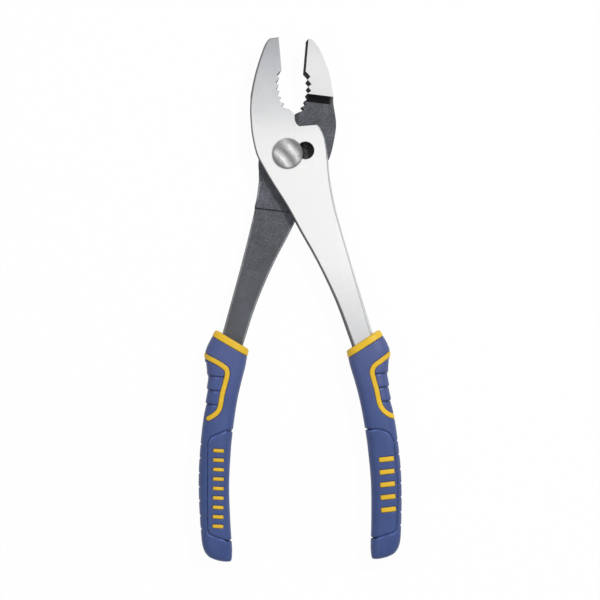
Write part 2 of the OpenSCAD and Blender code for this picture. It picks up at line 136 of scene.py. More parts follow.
# The dome's grinding lines lie this far round from the tool's length, in degrees. Its painted highlight
# bands across those lines, and how they bend and fade along them from the upper end
DOME_GRIND = 34.8
DOME_PAINTED_HIGHLIGHTS = [(0.04, 0.27), (0.14, 0.4), (0.27, 0.82), (0.36, 0.58), (0.44, 0.34), (0.5, 0.28),
              (0.57, 0.36), (0.66, 0.47), (0.74, 0.42), (0.84, 0.3), (0.96, 0.24)]
DOME_BEND = [(0.0, 0.2), (0.17, 0.112), (0.34, 0.05), (0.5, 0.0135), (0.675, 0.0)]
DOME_FADE = [(0.0, 0.1), (0.12, 0.35), (0.25, 0.8), (0.4, 1.0), (0.75, 1.0), (1.0, 0.8)]
# Painted shade in the step's corner and the pivot's hole, and lighter painted patches in it
PAINTED_SHADE = (0.012, 0.011, 0.012)
PAINTED_SHADE_PATCH = (0.085, 0.083, 0.085)
# Shares of the blue from the tool's end up to the collars
BLUE_SHARES = [(0.0, (0.78, 0.88, 0.92)), (0.55, (0.88, 0.94, 0.96)), (0.75, (1.0, 1.0, 1.0)),
               (0.95, (1.36, 1.2, 1.09))]

# Stage, in metres and watts: each lamp's name, place, width and power, and the camera
LAMPS = (("key", (0.56, 0.46, 1.06), 0.16, 10.1), ("fill", (-0.5, -0.62, 1.0), 0.5, 2.1))
LAMP_AIM = (0, -0.07, 0)
BENCH_HALF = 1.5
BENCH_DROP = 0.0004
CAMERA_PLACE = (0.005914, -0.06992, 1.38865)
CAMERA_LENS = 172.9


def length(name, size, words):
    """A length that a user may change, given in millimetres and kept in metres."""
    return bpy.props.FloatProperty(name=name, default=size * MM, precision=5, subtype="DISTANCE",
                                   description=words)


def angle(name, size, words):
    """An angle that a user may change, given in degrees and kept in radians."""
    return bpy.props.FloatProperty(name=name, default=math.radians(size), subtype="ANGLE", description=words)


def colour(name, tint, words):
    """A colour that a user may change."""
    return bpy.props.FloatVectorProperty(name=name, subtype="COLOR", default=tint, description=words)


class PliersSizes(bpy.types.PropertyGroup):
    """Sizes of the pieces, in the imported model's frame"""
    half_turn: angle("Half turn", 7.0, "Turn of each half")
    back_hole: length("Back hole", 5.4931, "Offset of the back half's hole")
    shank_len: length("Shank length", 93.3, "From the pivot to the grips")
    handle_out: length("Handle reach", 24.9, "Side reach at the grips")
    mid_z: length("Middle height", 8.65, "Height of the joint's plane")
    grip_len: length("Grip length", 104.6, "Length of a grip")
    grip_w: length("Grip width", 14.4, "Width of a grip")
    grip_depth: length("Grip depth", 15.4, "Depth of a grip")
    collar_slant: angle("Collar slant", 26.2, "Slant of the collar")
    collar_t: length("Collar", 3.4, "Thickness of the collar")
    band_w: length("Band", 2.35, "Width of the accent band")
    proud: length("Proud", 0.12, "How far the yellow parts stand proud")
    sleeve_t: length("Sleeve", 1.7, "Wall of the blue sleeve")
    groove_w: length("Groove width", 0.95, "Width of the panel's groove")
    groove_depth: length("Groove depth", 0.6, "Depth of the groove")
    row_step: length("Row step", 0.33, "Spacing of the rows of a grip")
    bright_bevel: length("Bright edge", 0.22, "Bevel of the bright steel's edges")
    dark_bevel: length("Dark edge", 1.0, "Worn bevel of the dark shank's edges")
    bolt_d: length("Bolt", 8.1, "Diameter of the bolt")
    dome_d: length("Dome", 14.7, "Diameter of the domed head")
    dome_h: length("Dome height", 4.2, "Height of the domed head")
    dome_rim: length("Dome rim", 0.7, "Straight rim under the dome")
    flat_w: length("Bolt flats", 5.2, "Width across the bolt's flats")
    stud_d: length("Stud", 6.0, "Diameter of the bolt's end")
    nut_w: length("Nut", 11.0, "Width across the nut's flats")
    nut_h: length("Nut height", 3.4, "Thickness of the nut")
    ring_count: bpy.props.IntProperty(name="Ring points", default=156, min=24,
                                      description="Points round a grip")


class PliersColours(bpy.types.PropertyGroup):
    """Colours of the finishes"""
    bright: colour("Bright steel", (0.78, 0.785, 0.795), "Brushed steel of the front half")
    dark: colour("Dark steel", (0.082, 0.086, 0.097), "Dark steel of the back half")
    yellow: colour("Yellow", (0.82, 0.517, 0.033), "Yellow plastic")
    blue: colour("Blue", (0.06, 0.09, 0.246), "Blue rubber")


def sizes():
    """The sizes in millimetres and degrees."""
    group = bpy.context.scene.pliers_sizes
    degrees = dict.fromkeys(("half_turn", "collar_slant"), math.radians(1))
    keys = [k for k in PliersSizes.__annotations__ if k != "ring_count"]
    values = {k: getattr(group, k) / degrees.get(k, MM) for k in keys}
    return SimpleNamespace(ring_count=group.ring_count, **values)


def tint_of(name):
    """One of the colours, as three numbers."""
    return tuple(getattr(bpy.context.scene.pliers_colours, name))


# Mesh helpers
def linked(name, data):
    """A new object in the scene."""
    thing = bpy.data.objects.new(name, data)
    bpy.context.scene.collection.objects.link(thing)
    return thing


def new_mesh(name, points, faces, body, node, material, sharp, tone=None):
    """A mesh object from an array of points in millimetres and a list of faces, riding on a body. Tone
    is one number a point: below 1 for painted shade in grooves, notches and seams, above it for a painted
    highlight on a lip."""
    mesh = bpy.data.meshes.new(name)
    mesh.from_pydata((points * MM).tolist(), [], faces)
    mesh.validate()
    mesh.shade_smooth()
    mesh.set_sharp_from_angle(angle=math.radians(sharp))
    if tone is not None:
        mesh.attributes.new("tone", "FLOAT", "POINT").data.foreach_set("value", tone.astype(np.float32))
    mesh.materials.append(material)
    piece = linked(name, mesh)
    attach(piece, body)
    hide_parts(node)


def turned(points, degrees):
    """Points turned about +Z by an angle."""
    c, s = math.cos(math.radians(degrees)), math.sin(math.radians(degrees))
    x, y = points[:, 0] * c - points[:, 1] * s, points[:, 0] * s + points[:, 1] * c
    return np.column_stack([x, y, points[:, 2]])


def grip_place(points, side):
    """From a grip's own frame to the model's: on its half, then the half turned to its pose."""
    z = sizes()
    reach = z.handle_out - z.shank_len * math.tan(math.radians(side["lean"]))
    p = turned(points, side["turn"]) + (reach, -z.shank_len, 0)
    if side["face"] > 0:
        p = turned(p, z.half_turn)
    else:
        p = (p - (z.back_hole, 0, 0)) * (-1, 1, -1)
        p = turned(p, -z.half_turn)
    return p + (0, 0, z.mid_z)


def smooth_line(points, steps=10):
    """Catmull-Rom curve through a list of points, a few steps to each span."""
    p = np.array(points, float)
    p = np.vstack([2 * p[0] - p[1], p, 2 * p[-1] - p[-2]])
    t = np.linspace(0, 1, steps, endpoint=False)[:, None]
    spans = []
    for a, b, c, d in zip(p[:-3], p[1:-2], p[2:-1], p[3:]):
        spans.append(0.5 * (2 * b + (c - a) * t + (2 * a - 5 * b + 4 * c - d) * t ** 2
                            + (3 * b - a - 3 * c + d) * t ** 3))
    return np.vstack(spans + [p[-2:-1]])


def line_distance(points, line):
    """Least distance from each point to a polyline, both in the plane."""
    best = np.full(len(points), 1e9)
    for a, b in zip(line[:-1], line[1:]):
        d = b - a
        s = np.clip(((points - a) @ d) / max(d @ d, 1e-12), 0, 1)
        best = np.minimum(best, np.hypot(*(points - a - s[:, None] * d).T))
    return best


def inside(points, polygon):
    """True for each point within a closed outline, counted by crossings."""
    hit = np.zeros(len(points), bool)
    x, y = points.T
    for (ax, ay), (bx, by) in zip(polygon, np.roll(polygon, -1, axis=0)):
        if ay == by:
            continue
        crosses = (ay > y) != (by > y)
        hit ^= crosses & (x < (bx - ax) * (y - ay) / (by - ay) + ax)
    return hit


def ease(t):
    """Smooth step from 0 to 1."""
    t = np.clip(t, 0, 1)
    return t * t * (3 - 2 * t)


def hermite(x, xs, ys):
    """Cubic curve through a table, with limited slopes so that it never overshoots."""
    h = np.diff(xs)
    d = np.diff(ys, axis=0) / h[:, None]
    a, b = d[:-1], d[1:]
    m = np.where(a * b > 0, 2 * a * b / np.where(a + b == 0, 1, a + b), 0)
    m = np.vstack([d[:1], m, d[-1:]])
    i = np.clip(np.searchsorted(xs, x, side="right") - 1, 0, len(xs) - 2)
    t = ((x - xs[i]) / h[i])[..., None]
    w = h[i][..., None]
    return ((2 * t ** 3 - 3 * t ** 2 + 1) * ys[i] + (t ** 3 - 2 * t ** 2 + t) * w * m[i]
            + (3 * t ** 2 - 2 * t ** 3) * ys[i + 1] + (t ** 3 - t ** 2) * w * m[i + 1])


# The grip's surface
def superellipse(count):
    """Evenly spaced points round |x|^n + |y|^n = 1, clockwise seen from its top end."""
    a = np.linspace(0, 2 * math.pi, 20001)
    c, s = np.cos(a), np.sin(a)
    x, y = np.sign(c) * abs(c) ** (2 / SQUARENESS), -np.sign(s) * abs(s) ** (2 / SQUARENESS)
    run = np.concatenate([[0], np.cumsum(np.hypot(np.diff(x), np.diff(y)))])
    at = np.linspace(0, run[-1], count, endpoint=False)
    return np.interp(at, run, x), np.interp(at, run, y)


def grip_grid(lift):
    """Rows of a squared tube. Row t lies at height -t times the length, tilted to the collar's slant
    at the top and level from a third of the way down; x and z follow the table at that height."""
    z = sizes()
    slope = math.tan(math.radians(z.collar_slant))
    size = np.array([z.grip_w, z.grip_w, z.grip_depth])
    top = -lift / math.cos(math.radians(z.collar_slant)) / z.grip_len
    fine = np.linspace(top, GRIP_ROWS[-1, 0], 6000)
    table = GRIP_ROWS[:, 0], GRIP_ROWS[:, 1:]
    edge = hermite(fine, *table) * size
    steps = np.maximum(np.abs(np.diff(edge, axis=0)).max(1), np.diff(fine) * z.grip_len)
    run = np.concatenate([[0], np.cumsum(steps)])
    near = np.arange(0, z.collar_t + 1.0, 0.17)
    rest = np.linspace(near[-1] + z.row_step, run[-1], int((run[-1] - near[-1]) / z.row_step))
    rows = np.interp(np.concatenate([near, rest]), run, fine)
    cx, cz = superellipse(z.ring_count)
    t = np.repeat(rows[:, None], z.ring_count, 1)
    tilt = slope * (1 - ease((t - 0.03) / 0.32))
    y = -t * z.grip_len
    for _ in range(8):
        out, inner, deep = np.moveaxis(hermite(-y / z.grip_len, *table) * size, 2, 0)
        x = (out + inner) / 2 + (out - inner) / 2 * cx
        y = -t * z.grip_len + tilt * x
    return np.stack([x, y, deep * cz], axis=2)


def grid_normals(p):
    """Unit normals of a grid that closes on itself sideways."""
    along = np.gradient(p, axis=0)
    across = (np.roll(p, -1, 1) - np.roll(p, 1, 1)) / 2
    n = np.cross(along, across)
    n /= np.linalg.norm(n, axis=2, keepdims=True) + 1e-12
    outward = (n * (p - p.mean(axis=1, keepdims=True))).sum() > 0
    return n if outward else -n


def grid_triangles(rows, count, last):
    """Triangles of the grid, closed round, with a fan from its last row to one point."""
    i, j = np.meshgrid(np.arange(rows - 1), np.arange(count), indexing="ij")
    a, b = i * count + j, i * count + (j + 1) % count
    c, d = b + count, a + count
    fan = np.arange(count)
    tail = (rows - 1) * count
    return np.vstack([np.stack([a, b, c], 2).reshape(-1, 3), np.stack([a, c, d], 2).reshape(-1, 3),
                      np.column_stack([tail + fan, tail + (fan + 1) % count, np.full(count, last)])])


def split(values, field, tris):
    """Cuts triangles along the line where field is zero. Returns longer arrays and the two sets."""
    field = np.where(np.abs(field) < 0.03, 0, field)
    sign = np.sign(field)
    f = sign[tris]
    low, high = f.min(1), f.max(1)
    inner, outer = tris[high <= 0], tris[(low >= 0) & (high > 0)]
    mixed = tris[(low < 0) & (high > 0)]
    fm = sign[mixed]
    lone_low = (fm < 0).sum(1) == 1
    lone = np.where(lone_low, fm.argmin(1), fm.argmax(1))
    order = (lone[:, None] + np.arange(3)) % 3
    mixed = np.take_along_axis(mixed, order, 1)
    edges = np.sort(np.vstack([mixed[:, [0, 1]], mixed[:, [0, 2]]]), axis=1)
    fe = field[edges]
    crossed = fe[:, 0] * fe[:, 1] < 0
    keys, back = np.unique(edges[crossed], axis=0, return_inverse=True)
    share = field[keys[:, 0]] / (field[keys[:, 0]] - field[keys[:, 1]])
    added = [v[keys[:, 0]] + (v[keys[:, 1]] - v[keys[:, 0]]) * (share[:, None] if v.ndim > 1 else share)
             for v in values]
    values = [np.concatenate([v, e]) for v, e in zip(values, added)]
    field = np.concatenate([field, np.zeros(len(keys))])
    cut = np.where(crossed, 0, -1)
    cut[crossed] = len(sign) + back.ravel()
    p, q = cut[:len(mixed)], cut[len(mixed):]
    a, b, c = mixed.T
    lone_sign = sign[a]
    parts = {-1: [inner], 1: [outer]}
    cases = (((p >= 0) & (q >= 0), [(a, p, q)], [(p, b, c), (p, c, q)]),
             ((p >= 0) & (q < 0), [(a, p, c)], [(p, b, c)]),
             ((p < 0) & (q >= 0), [(a, b, q)], [(q, b, c)]))
    for s in (-1, 1):
        for case, near, far in cases:
            m = case & (lone_sign == s)
            parts[s] += [np.column_stack(t)[m] for t in near]
            parts[-s] += [np.column_stack(t)[m] for t in far]
    return values, field, np.vstack(parts[-1]), np.vstack(parts[1])


def open_edges(tris):
    """Edges used once, in the direction of their triangle."""
    e = np.vstack([tris[:, [0, 1]], tris[:, [1, 2]], tris[:, [2, 0]]])
    key = np.sort(e, axis=1)
    _, first, count = np.unique(key, axis=0, return_index=True, return_counts=True)
    return e[first[count == 1]]


def edge_wall(edges, n):
    """Two triangles from each edge of a sheet to the same edge of its copy, n points further on."""
    a, b = edges.T
    return np.vstack([np.column_stack([b, a, a + n]), np.column_stack([b, a + n, b + n])])


def between_sheets(outer, inner, tris, tone):
    """Closed skin: an outer sheet, the same sheet inside turned over, and a wall along each edge."""
    used, flat = np.unique(tris, return_inverse=True)
    tris = flat.reshape(-1, 3)
    n = len(used)
    faces = np.vstack([tris, tris[:, ::-1] + n, edge_wall(open_edges(tris), n)])
    return np.vstack([outer[used], inner[used]]), faces, np.concatenate([tone[used], np.full(n, 0.5)])


def grip_marks(side):
    """Middle points of the raised bars, and the half size of one."""
    first, last, x0, x1, count, long, wide = side["marks"]
    s = np.linspace(0, 1, count)
    spots = np.column_stack([x0 + (x1 - x0) * s + side["shift"], -(first + (last - first) * s)])
    return spots, np.array([long, wide]) / 2


def yellow_field(p, side):
    """Less than zero on the collar, the band and the bars: signed distance in the view from above."""
    z = sizes()
    slant = math.radians(z.collar_slant)
    xy = p[:, :2]
    collar = side["lift"] - z.collar_t - (math.cos(slant) * p[:, 1] - math.sin(slant) * p[:, 0])
    line = smooth_line([(u, -v) for v, u in side["band"]])
    field = np.minimum(collar, line_distance(xy, line) - z.band_w / 2)
    spots, half = grip_marks(side)
    corner = 0.3
    seen = p[:, 2] * side["face"] > 0
    for spot in spots:
        d = np.abs(xy - spot) - half + corner
        bar = np.hypot(*np.maximum(d, 0).T) + np.minimum(d.max(1), 0) - corner
        field = np.where(seen, np.minimum(field, bar), field)
    return field, line


def notch(distance, wide, deep):
    """A rounded groove: deep in the middle, back to nothing at half its width."""
    return deep * ease(1 - distance / (wide / 2))


def painted_lip_highlight(distance):
    """1 where a highlight is painted on the lip beside a groove, falling to 0 on both sides of it."""
    return ease(1 - np.abs(distance - LIP_AT) / LIP_HALF)


def blue_height(p, n, side):
    """Relief of the blue skin and its tone of painted shade and highlights: panel groove, its sunk panel, the
    notches of both edges.
    """
    z = sizes()
    xy = p[:, :2]
    down = -p[:, 1]
    line = smooth_line([(u, -v) for v, u in side["panel"]])
    away = line_distance(xy, line)
    within = inside(xy, line)
    h = -notch(away, z.groove_w, z.groove_depth)
    # Painted shade along the groove
    tone = 1 - notch(away, 1.1 * z.groove_w, 0.42)

    # A painted highlight on the groove's lip near four points of its bends
    first, last = INNER_NOTCHES
    for v, lip_side, u in ((first + 4, within, 5.5), (first + 1, within, 0.0), (last - 1.5, ~within, 4.0),
                           (last + 0.5, ~within, -2.0)):
        tone += notch(np.hypot(down - v, p[:, 0] - u), 7.2, 1.3) * lip_side * painted_lip_highlight(away)

    # The panel is sunk on the broad faces, and each row of notches, with painted shade in it, fades out round
    # the grip's sides
    sunk, sink_reach = 0.16, 0.7
    flatness = ease((np.abs(n[:, 2]) - 0.25) / 0.3)
    h -= np.where(within, sunk * ease(away / sink_reach) * flatness, 0)
    outer = ease((n[:, 0] - 0.55) / 0.3)
    inner = ease((-n[:, 0] - 0.3) / 0.4)
    for places, share, wide, deep, shade_wide in ((EDGE_NOTCHES, outer, 1.5, 0.42, 1.3),
                                                  (INNER_NOTCHES, inner, 1.3, 0.75, 1.5)):
        for v in places:
            h -= notch(np.abs(down - v), wide, deep) * share
            tone -= notch(np.abs(down - v), shade_wide, 0.3) * share
    return h, tone


def pad_height(p, n):
    """Relief and tone of the thumb pad: shallow scales that rise down the grip, each ending at a groove, with
    painted shade in the groove and a painted highlight beside it.
    """
    scale_deep, groove_wide, groove_deep, glint_at = 0.42, 1.1, 0.4, 6.0
    down = -p[:, 1]
    h = np.zeros(len(p))
    edges = PAD_ENDS[:1] + PAD_GROOVES + PAD_ENDS[1:]
    for a, b in zip(edges[:-1], edges[1:]):
        t = (down - a) / (b - a)
        h = np.where((t >= 0) & (t < 1), -scale_deep * (1 - ease(t * 1.15)), h)
    tone = np.ones(len(p))
    broad = ease((np.abs(n[:, 2]) - 0.3) / 0.35)
    shade_wide = 0.9 + 1.3 * broad * ease((p[:, 0] - 5.2) / 4.0)
    painted_glint = 1.2 * broad * notch(np.abs(p[:, 0] - glint_at), 3.0, 1.0)
    # Painted shade in each groove, and a painted highlight on the lip below it
    for v in PAD_GROOVES:
        h -= notch(np.abs(down - v), groove_wide, groove_deep)
        tone -= notch(np.abs(down - v), shade_wide, 0.55) * (0.25 + 0.75 * broad)
        tone += painted_glint * painted_lip_highlight(down - v)
    return h, tone


def build_grip(side, names):
    """The grip's surface, cut into the yellow core, the blue sleeve and the blue thumb pad."""
    z = sizes()
    grid = grip_grid(side["lift"])
    normals = grid_normals(grid)
    rows, count, _ = grid.shape
    points = np.vstack([grid.reshape(-1, 3), grid[-1].mean(0)[None]])
    normal = np.vstack([normals.reshape(-1, 3), [[0, -1, 0]]])
    tris = grid_triangles(rows, count, len(points) - 1)
    a, b, c = (points[tris[:, k]] for k in range(3))
    out = (a + b + c) / 3 - (points[:, 0].mean(), 0, 0)
    if (np.cross(b - a, c - a) * out * (1, 0, 1)).sum() < 0:
        tris = tris[:, ::-1]
    field, line = yellow_field(points, side)
    (points, normal), field, yellow, blue = split([points, normal], field, tris)
    normal /= np.linalg.norm(normal, axis=1, keepdims=True)
    island = np.vstack([line, [(40, line[-1, 1] - 1.5), (40, line[0, 1])]])
    on_pad = inside(points[blue].mean(1)[:, :2], island)
    pad, sleeve = blue[on_pad], blue[~on_pad]

    lip = ease(1 - np.abs(field) / SEAM_REACH)
    raised = points + normal * (z.proud - YELLOW_DIP * lip)[:, None]
    skin_relief, skin_tone = blue_height(points, normal, side)
    pad_relief, pad_tone = pad_height(points, normal)
    skin = points + normal * (skin_relief - BLUE_DIP * lip)[:, None]
    scales = points + normal * (pad_relief - BLUE_DIP * lip)[:, None]
    # Painted shade along the seam on the blue
    seam = 0.5 * lip
    under = points - normal * (z.sleeve_t - 0.05)
    core = points - normal * z.sleeve_t

    # The collar's top edge is rolled over and its top face closed
    top = np.arange(count)
    slant = math.radians(z.collar_slant)
    up = np.array([-math.sin(slant), math.cos(slant), 0])
    depth = side["lift"] - points @ up
    drop = COLLAR_ROLL - np.sqrt(COLLAR_ROLL ** 2 - (COLLAR_ROLL - np.clip(depth, 0, COLLAR_ROLL)) ** 2)
    foot = notch(np.abs(depth - z.collar_t + 0.7), 1.2, COLLAR_FOOT) * (depth < z.collar_t)
    raised = raised + normal * (foot - drop)[:, None]

    # Core: yellow sheet outside, sunk sheet under the blue, walls where they meet, closed top
    n = len(points)
    edges = open_edges(yellow)
    faces = [yellow, blue + n, edge_wall(edges[(edges >= count).any(axis=1)], n)]
    centre = raised[top].mean(0)
    body = [raised, core]
    previous, index = top, 2 * n + top
    for share in (0.9, 0.55):
        body.append(centre + (raised[top] - centre) * share)
        after = np.roll(index, -1)
        faces += [np.column_stack([previous, after, index]),
                  np.column_stack([previous, np.roll(previous, -1), after])]
        previous, index = index, index + count
    faces.append(np.column_stack([previous, np.roll(previous, -1), np.full(count, index[0])]))
    body, faces = np.vstack(body + [centre]), np.vstack(faces)
    used, flat = np.unique(faces, return_inverse=True)
    tone = np.ones(len(body))
    # Painted shade on the yellow beside its seam
    tone[:n] -= 0.45 * lip
    pieces = [(body[used], flat.reshape(-1, 3), tone[used])]
    for sheet, tris, tone in ((skin, sleeve, skin_tone), (scales, pad, pad_tone)):
        pieces.append(between_sheets(sheet, under, tris, np.clip(tone - seam, *TONE_LIMITS)))
    looks = [("yellow_plastic", yellow_plastic())] + 2 * [("blue_rubber", blue_rubber())]
    for (place, tris, tone), node, (slot, material) in zip(pieces, names, looks):
        new_mesh(node + "_skin", grip_place(place, side), tris.tolist(), side["body"], node, material,
                 50.0, tone)


# Steel
def rim_room(v, rims):
    """Space for a bevel at a point of a rim: the least length of its other edges, or the radius that the
    rim turns in."""
    space = min((e.calc_length() for e in v.link_edges if e not in rims), default=1.0)
    along = [e.other_vert(v).co - v.co for e in v.link_edges if e in rims]
    if len(along) == 2:
        a, b = along
        space = min(space, (a.length + b.length) / 2 / max(math.pi - a.angle(b), 1e-3))
    return space / MM


def ground_copy(node, name, materials, assign, width, sharp):
    """A merged copy of a CAD node, its flat faces rejoined, with a fine bevel round its broad faces that
    takes the third material. Assign gives each face its material, from normals and centres. A rim stays
    sharp where sharp says so, from its place along the tool and its wall's normal, and where it has no
    room for the bevel."""
    source = frame["nodes"][node]
    mesh = source.data.copy()
    mesh.name = name
    mesh.materials.clear()
    bm = bmesh.new()
    bm.from_mesh(mesh)
    bmesh.ops.remove_doubles(bm, verts=bm.verts, dist=2e-6)
    bmesh.ops.dissolve_degenerate(bm, edges=bm.edges, dist=1e-6)
    bmesh.ops.dissolve_limit(bm, angle_limit=math.radians(FLAT_ANGLE), verts=bm.verts, edges=bm.edges)
    weight = bm.edges.layers.float.new("bevel_weight_edge")
    rims = set()
    for e in bm.edges:
        flat, steep = sorted(e.link_faces, key=lambda f: -abs(f.normal.z))
        broad = abs(flat.normal.z) > 0.9 and abs(steep.normal.z) < 0.6 and e.is_convex
        if broad and not sharp(min(v.co.y for v in e.verts) / MM, steep.normal):
            rims.add(e)
    for e in bm.edges:
        e[weight] = float(e in rims and min(rim_room(v, rims) for v in e.verts) > BEVEL_ROOM * width)
    bm.to_mesh(mesh)
    bm.free()
    for material in materials:
        mesh.materials.append(material)
    normal, centre = np.zeros((2, len(mesh.polygons) * 3))
    mesh.polygons.foreach_get("normal", normal)
    mesh.polygons.foreach_get("center", centre)
    index = assign(normal.reshape(-1, 3), centre.reshape(-1, 3) / MM)
    mesh.polygons.foreach_set("material_index", index.astype(np.int32))
    mesh.shade_smooth()
    mesh.set_sharp_from_angle(angle=math.radians(EDGE_ANGLE))
    piece = linked(name, mesh)
    bevel = piece.modifiers.new("edge", "BEVEL")
    bevel.width = width * MM
    bevel.segments = 3
    bevel.limit_method = "WEIGHT"
    bevel.material = 2
    bevel.use_clamp_overlap = False
    even = piece.modifiers.new("even", "WEIGHTED_NORMAL")
    even.weight = 100
    even.keep_sharp = True
    bodies = frame["record"]["behaviour"]["bodies"]
    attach(piece, [body for body, members in bodies.items() if node in members][0])
    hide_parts(node)


def lathe(name, rings, node, material, closed=False):
    """Rings of equal length from the bottom up, closed at both ends to a point, or where closed is true,
    the last ring joined to the first. The piece rides on the pivot."""
    count = len(rings[0])
    k = np.arange(count)
    after = (k + 1) % count
    faces = []
    for i in range(len(rings) - (0 if closed else 1)):
        a, b = i * count, (i + 1) % len(rings) * count
        faces += np.column_stack([a + k, a + after, b + after, b + k]).tolist()
    points = np.vstack(rings)
    if not closed:
        last = len(points) - count
        faces += np.column_stack([after, k, np.full(count, len(points))]).tolist()
        faces += np.column_stack([last + k, last + after, np.full(count, len(points) + 1)]).tolist()
        points = np.vstack([points, rings[0].mean(0), rings[-1].mean(0)])
    new_mesh(name, points, faces, "pivot", node, material, 30.0)


# Materials
def material_tree(name):
    """A new material, its node tree and its shader."""
    material = bpy.data.materials.new(name)
    material.use_nodes = True
    tree = material.node_tree
    return material, tree, tree.nodes["Principled BSDF"]


def feed(tree, value, entry):
    """Links a socket to an input, or sets the input to a number or a colour."""
    if isinstance(value, bpy.types.NodeSocket):
        tree.links.new(value, entry)
    else:
        entry.default_value = (*value, 1) if isinstance(value, tuple) else value


def wire(tree, node, **values):
    """Feeds a node's inputs by name, each with a socket, a number or a colour."""
    for key, value in values.items():
        feed(tree, value, node.inputs[key.replace("_", " ")])


def add(tree, kind, links=(), **values):
    """One node, with its settings or unlinked inputs, and links given as (input, socket)."""
    node = tree.nodes.new(kind)
    for key, value in values.items():
        if hasattr(node, key):
            setattr(node, key, value)
        else:
            node.inputs[key.replace("_", " ")].default_value = value
    for key, socket in links:
        tree.links.new(socket, node.inputs[key])
    return node


def maths(tree, operation, a, b=0.0):
    """A sum of one or two numbers, each a socket or a plain number."""
    node = add(tree, "ShaderNodeMath", operation=operation)
    feed(tree, a, node.inputs[0])
    feed(tree, b, node.inputs[1])
    return node.outputs[0]


def spread(tree, value, low, high, first=0.0, last=1.0):
    """A number carried from low to high over to first to last, and held beyond the ends."""
    return add(tree, "ShaderNodeMapRange", [("Value", value)], From_Min=low, From_Max=high, To_Min=first,
               To_Max=last).outputs[0]


def ramp(tree, socket, stops):
    """A number turned into a level or a colour by a list of stops, each (place, level or colour)."""
    node = tree.nodes.new("ShaderNodeValToRGB")
    elements = node.color_ramp.elements
    while len(elements) < len(stops):
        elements.new(0.5)
    for element, (at, value) in zip(elements, stops):
        element.position = at
        element.color = (*value, 1) if isinstance(value, tuple) else (value, value, value, 1)
    tree.links.new(socket, node.inputs[0])
    return node.outputs[0]


def turned_place(tree, degrees):
    """Object coordinates turned about +Z."""
    where = add(tree, "ShaderNodeTexCoord")
    return add(tree, "ShaderNodeMapping", [("Vector", where.outputs["Object"])],
               Rotation=(0, 0, math.radians(degrees))).outputs[0]


def noise(tree, size, detail=3.0, rough=0.55, turn=0.0):
    """Noise with a cell of 1 / size metres, the same or one for each axis, turned about +Z."""
    size = size if isinstance(size, tuple) else (size, size, size)
    place = add(tree, "ShaderNodeMapping", [("Vector", turned_place(tree, turn))], Scale=size).outputs[0]
    return add(tree, "ShaderNodeTexNoise", [("Vector", place)], Scale=1.0, Detail=detail,
               Roughness=rough).outputs["Fac"]


def mixed(tree, share, a, b, kind="MIX"):
    """Two colours mixed; each is a socket or a colour, and share a socket or a number."""
    node = tree.nodes.new("ShaderNodeMix")
    node.data_type, node.blend_type = "RGBA", kind
    for key, value in ((0, share), (6, a), (7, b)):
        feed(tree, value, node.inputs[key])
    return node.outputs[2]


def product(tree, first, *others):
    """Colours multiplied one after another."""
    for other in others:
        first = mixed(tree, 1.0, first, other, "MULTIPLY")
    return first


def height_share(tree, axis, low, high):
    """0 at low and 1 at high, in millimetres along one axis of the model."""
    where = add(tree, "ShaderNodeTexCoord")
    parts = add(tree, "ShaderNodeSeparateXYZ", [("Vector", where.outputs["Object"])])
    return spread(tree, parts.outputs[axis], low * MM, high * MM)


def round_place(tree, degrees):
    """The first two Object coordinates, turned about +Z, and the distance from that axis."""
    x, y, _ = add(tree, "ShaderNodeSeparateXYZ", [("Vector", turned_place(tree, degrees))]).outputs
    flat = add(tree, "ShaderNodeCombineXYZ", [("X", x), ("Y", y)]).outputs[0]
    return x, y, add(tree, "ShaderNodeVectorMath", [(0, flat)], operation="LENGTH").outputs["Value"]


def bumped(tree, shader, height, distance, strength):
    """Bump from a height socket: its distance in millimetres, its strength a socket or a number."""
    bump = add(tree, "ShaderNodeBump", [("Height", height)], Distance=distance * MM)
    feed(tree, strength, bump.inputs["Strength"])
    tree.links.new(bump.outputs[0], shader.inputs["Normal"])


def scaled(tint, shares):
    """A tint with its three parts scaled."""
    return tuple(t * k for t, k in zip(tint, shares))


def dimmed(tint, level):
    """A tint at a level, bluer where it is darker, for painted dimmer reflection on bare steel."""
    dark = max(0.0, 0.9 - level)
    return scaled(tint, (level * (1 - 0.07 * dark), level, level * (1 + 0.12 * dark)))


def painted_light_side_share(tree):
    """Share painted as lit: 1 on edges that face right below the jaw or up the tool, and on all near the
    grips; 0 elsewhere, where shade is painted. From the object's own normal and place."""
    where = add(tree, "ShaderNodeTexCoord")
    faces = add(tree, "ShaderNodeSeparateXYZ", [("Vector", where.outputs["Normal"])]).outputs
    right = maths(tree, "MULTIPLY", spread(tree, faces[0], -0.05, 0.1), height_share(tree, 1, 18, 14))
    edge_wear_and_painted_shade = maths(tree, "MAXIMUM", right, spread(tree, faces[1], 0.4, 0.55))
    return maths(tree, "MAXIMUM", edge_wear_and_painted_shade, height_share(tree, 1, -62, -72))


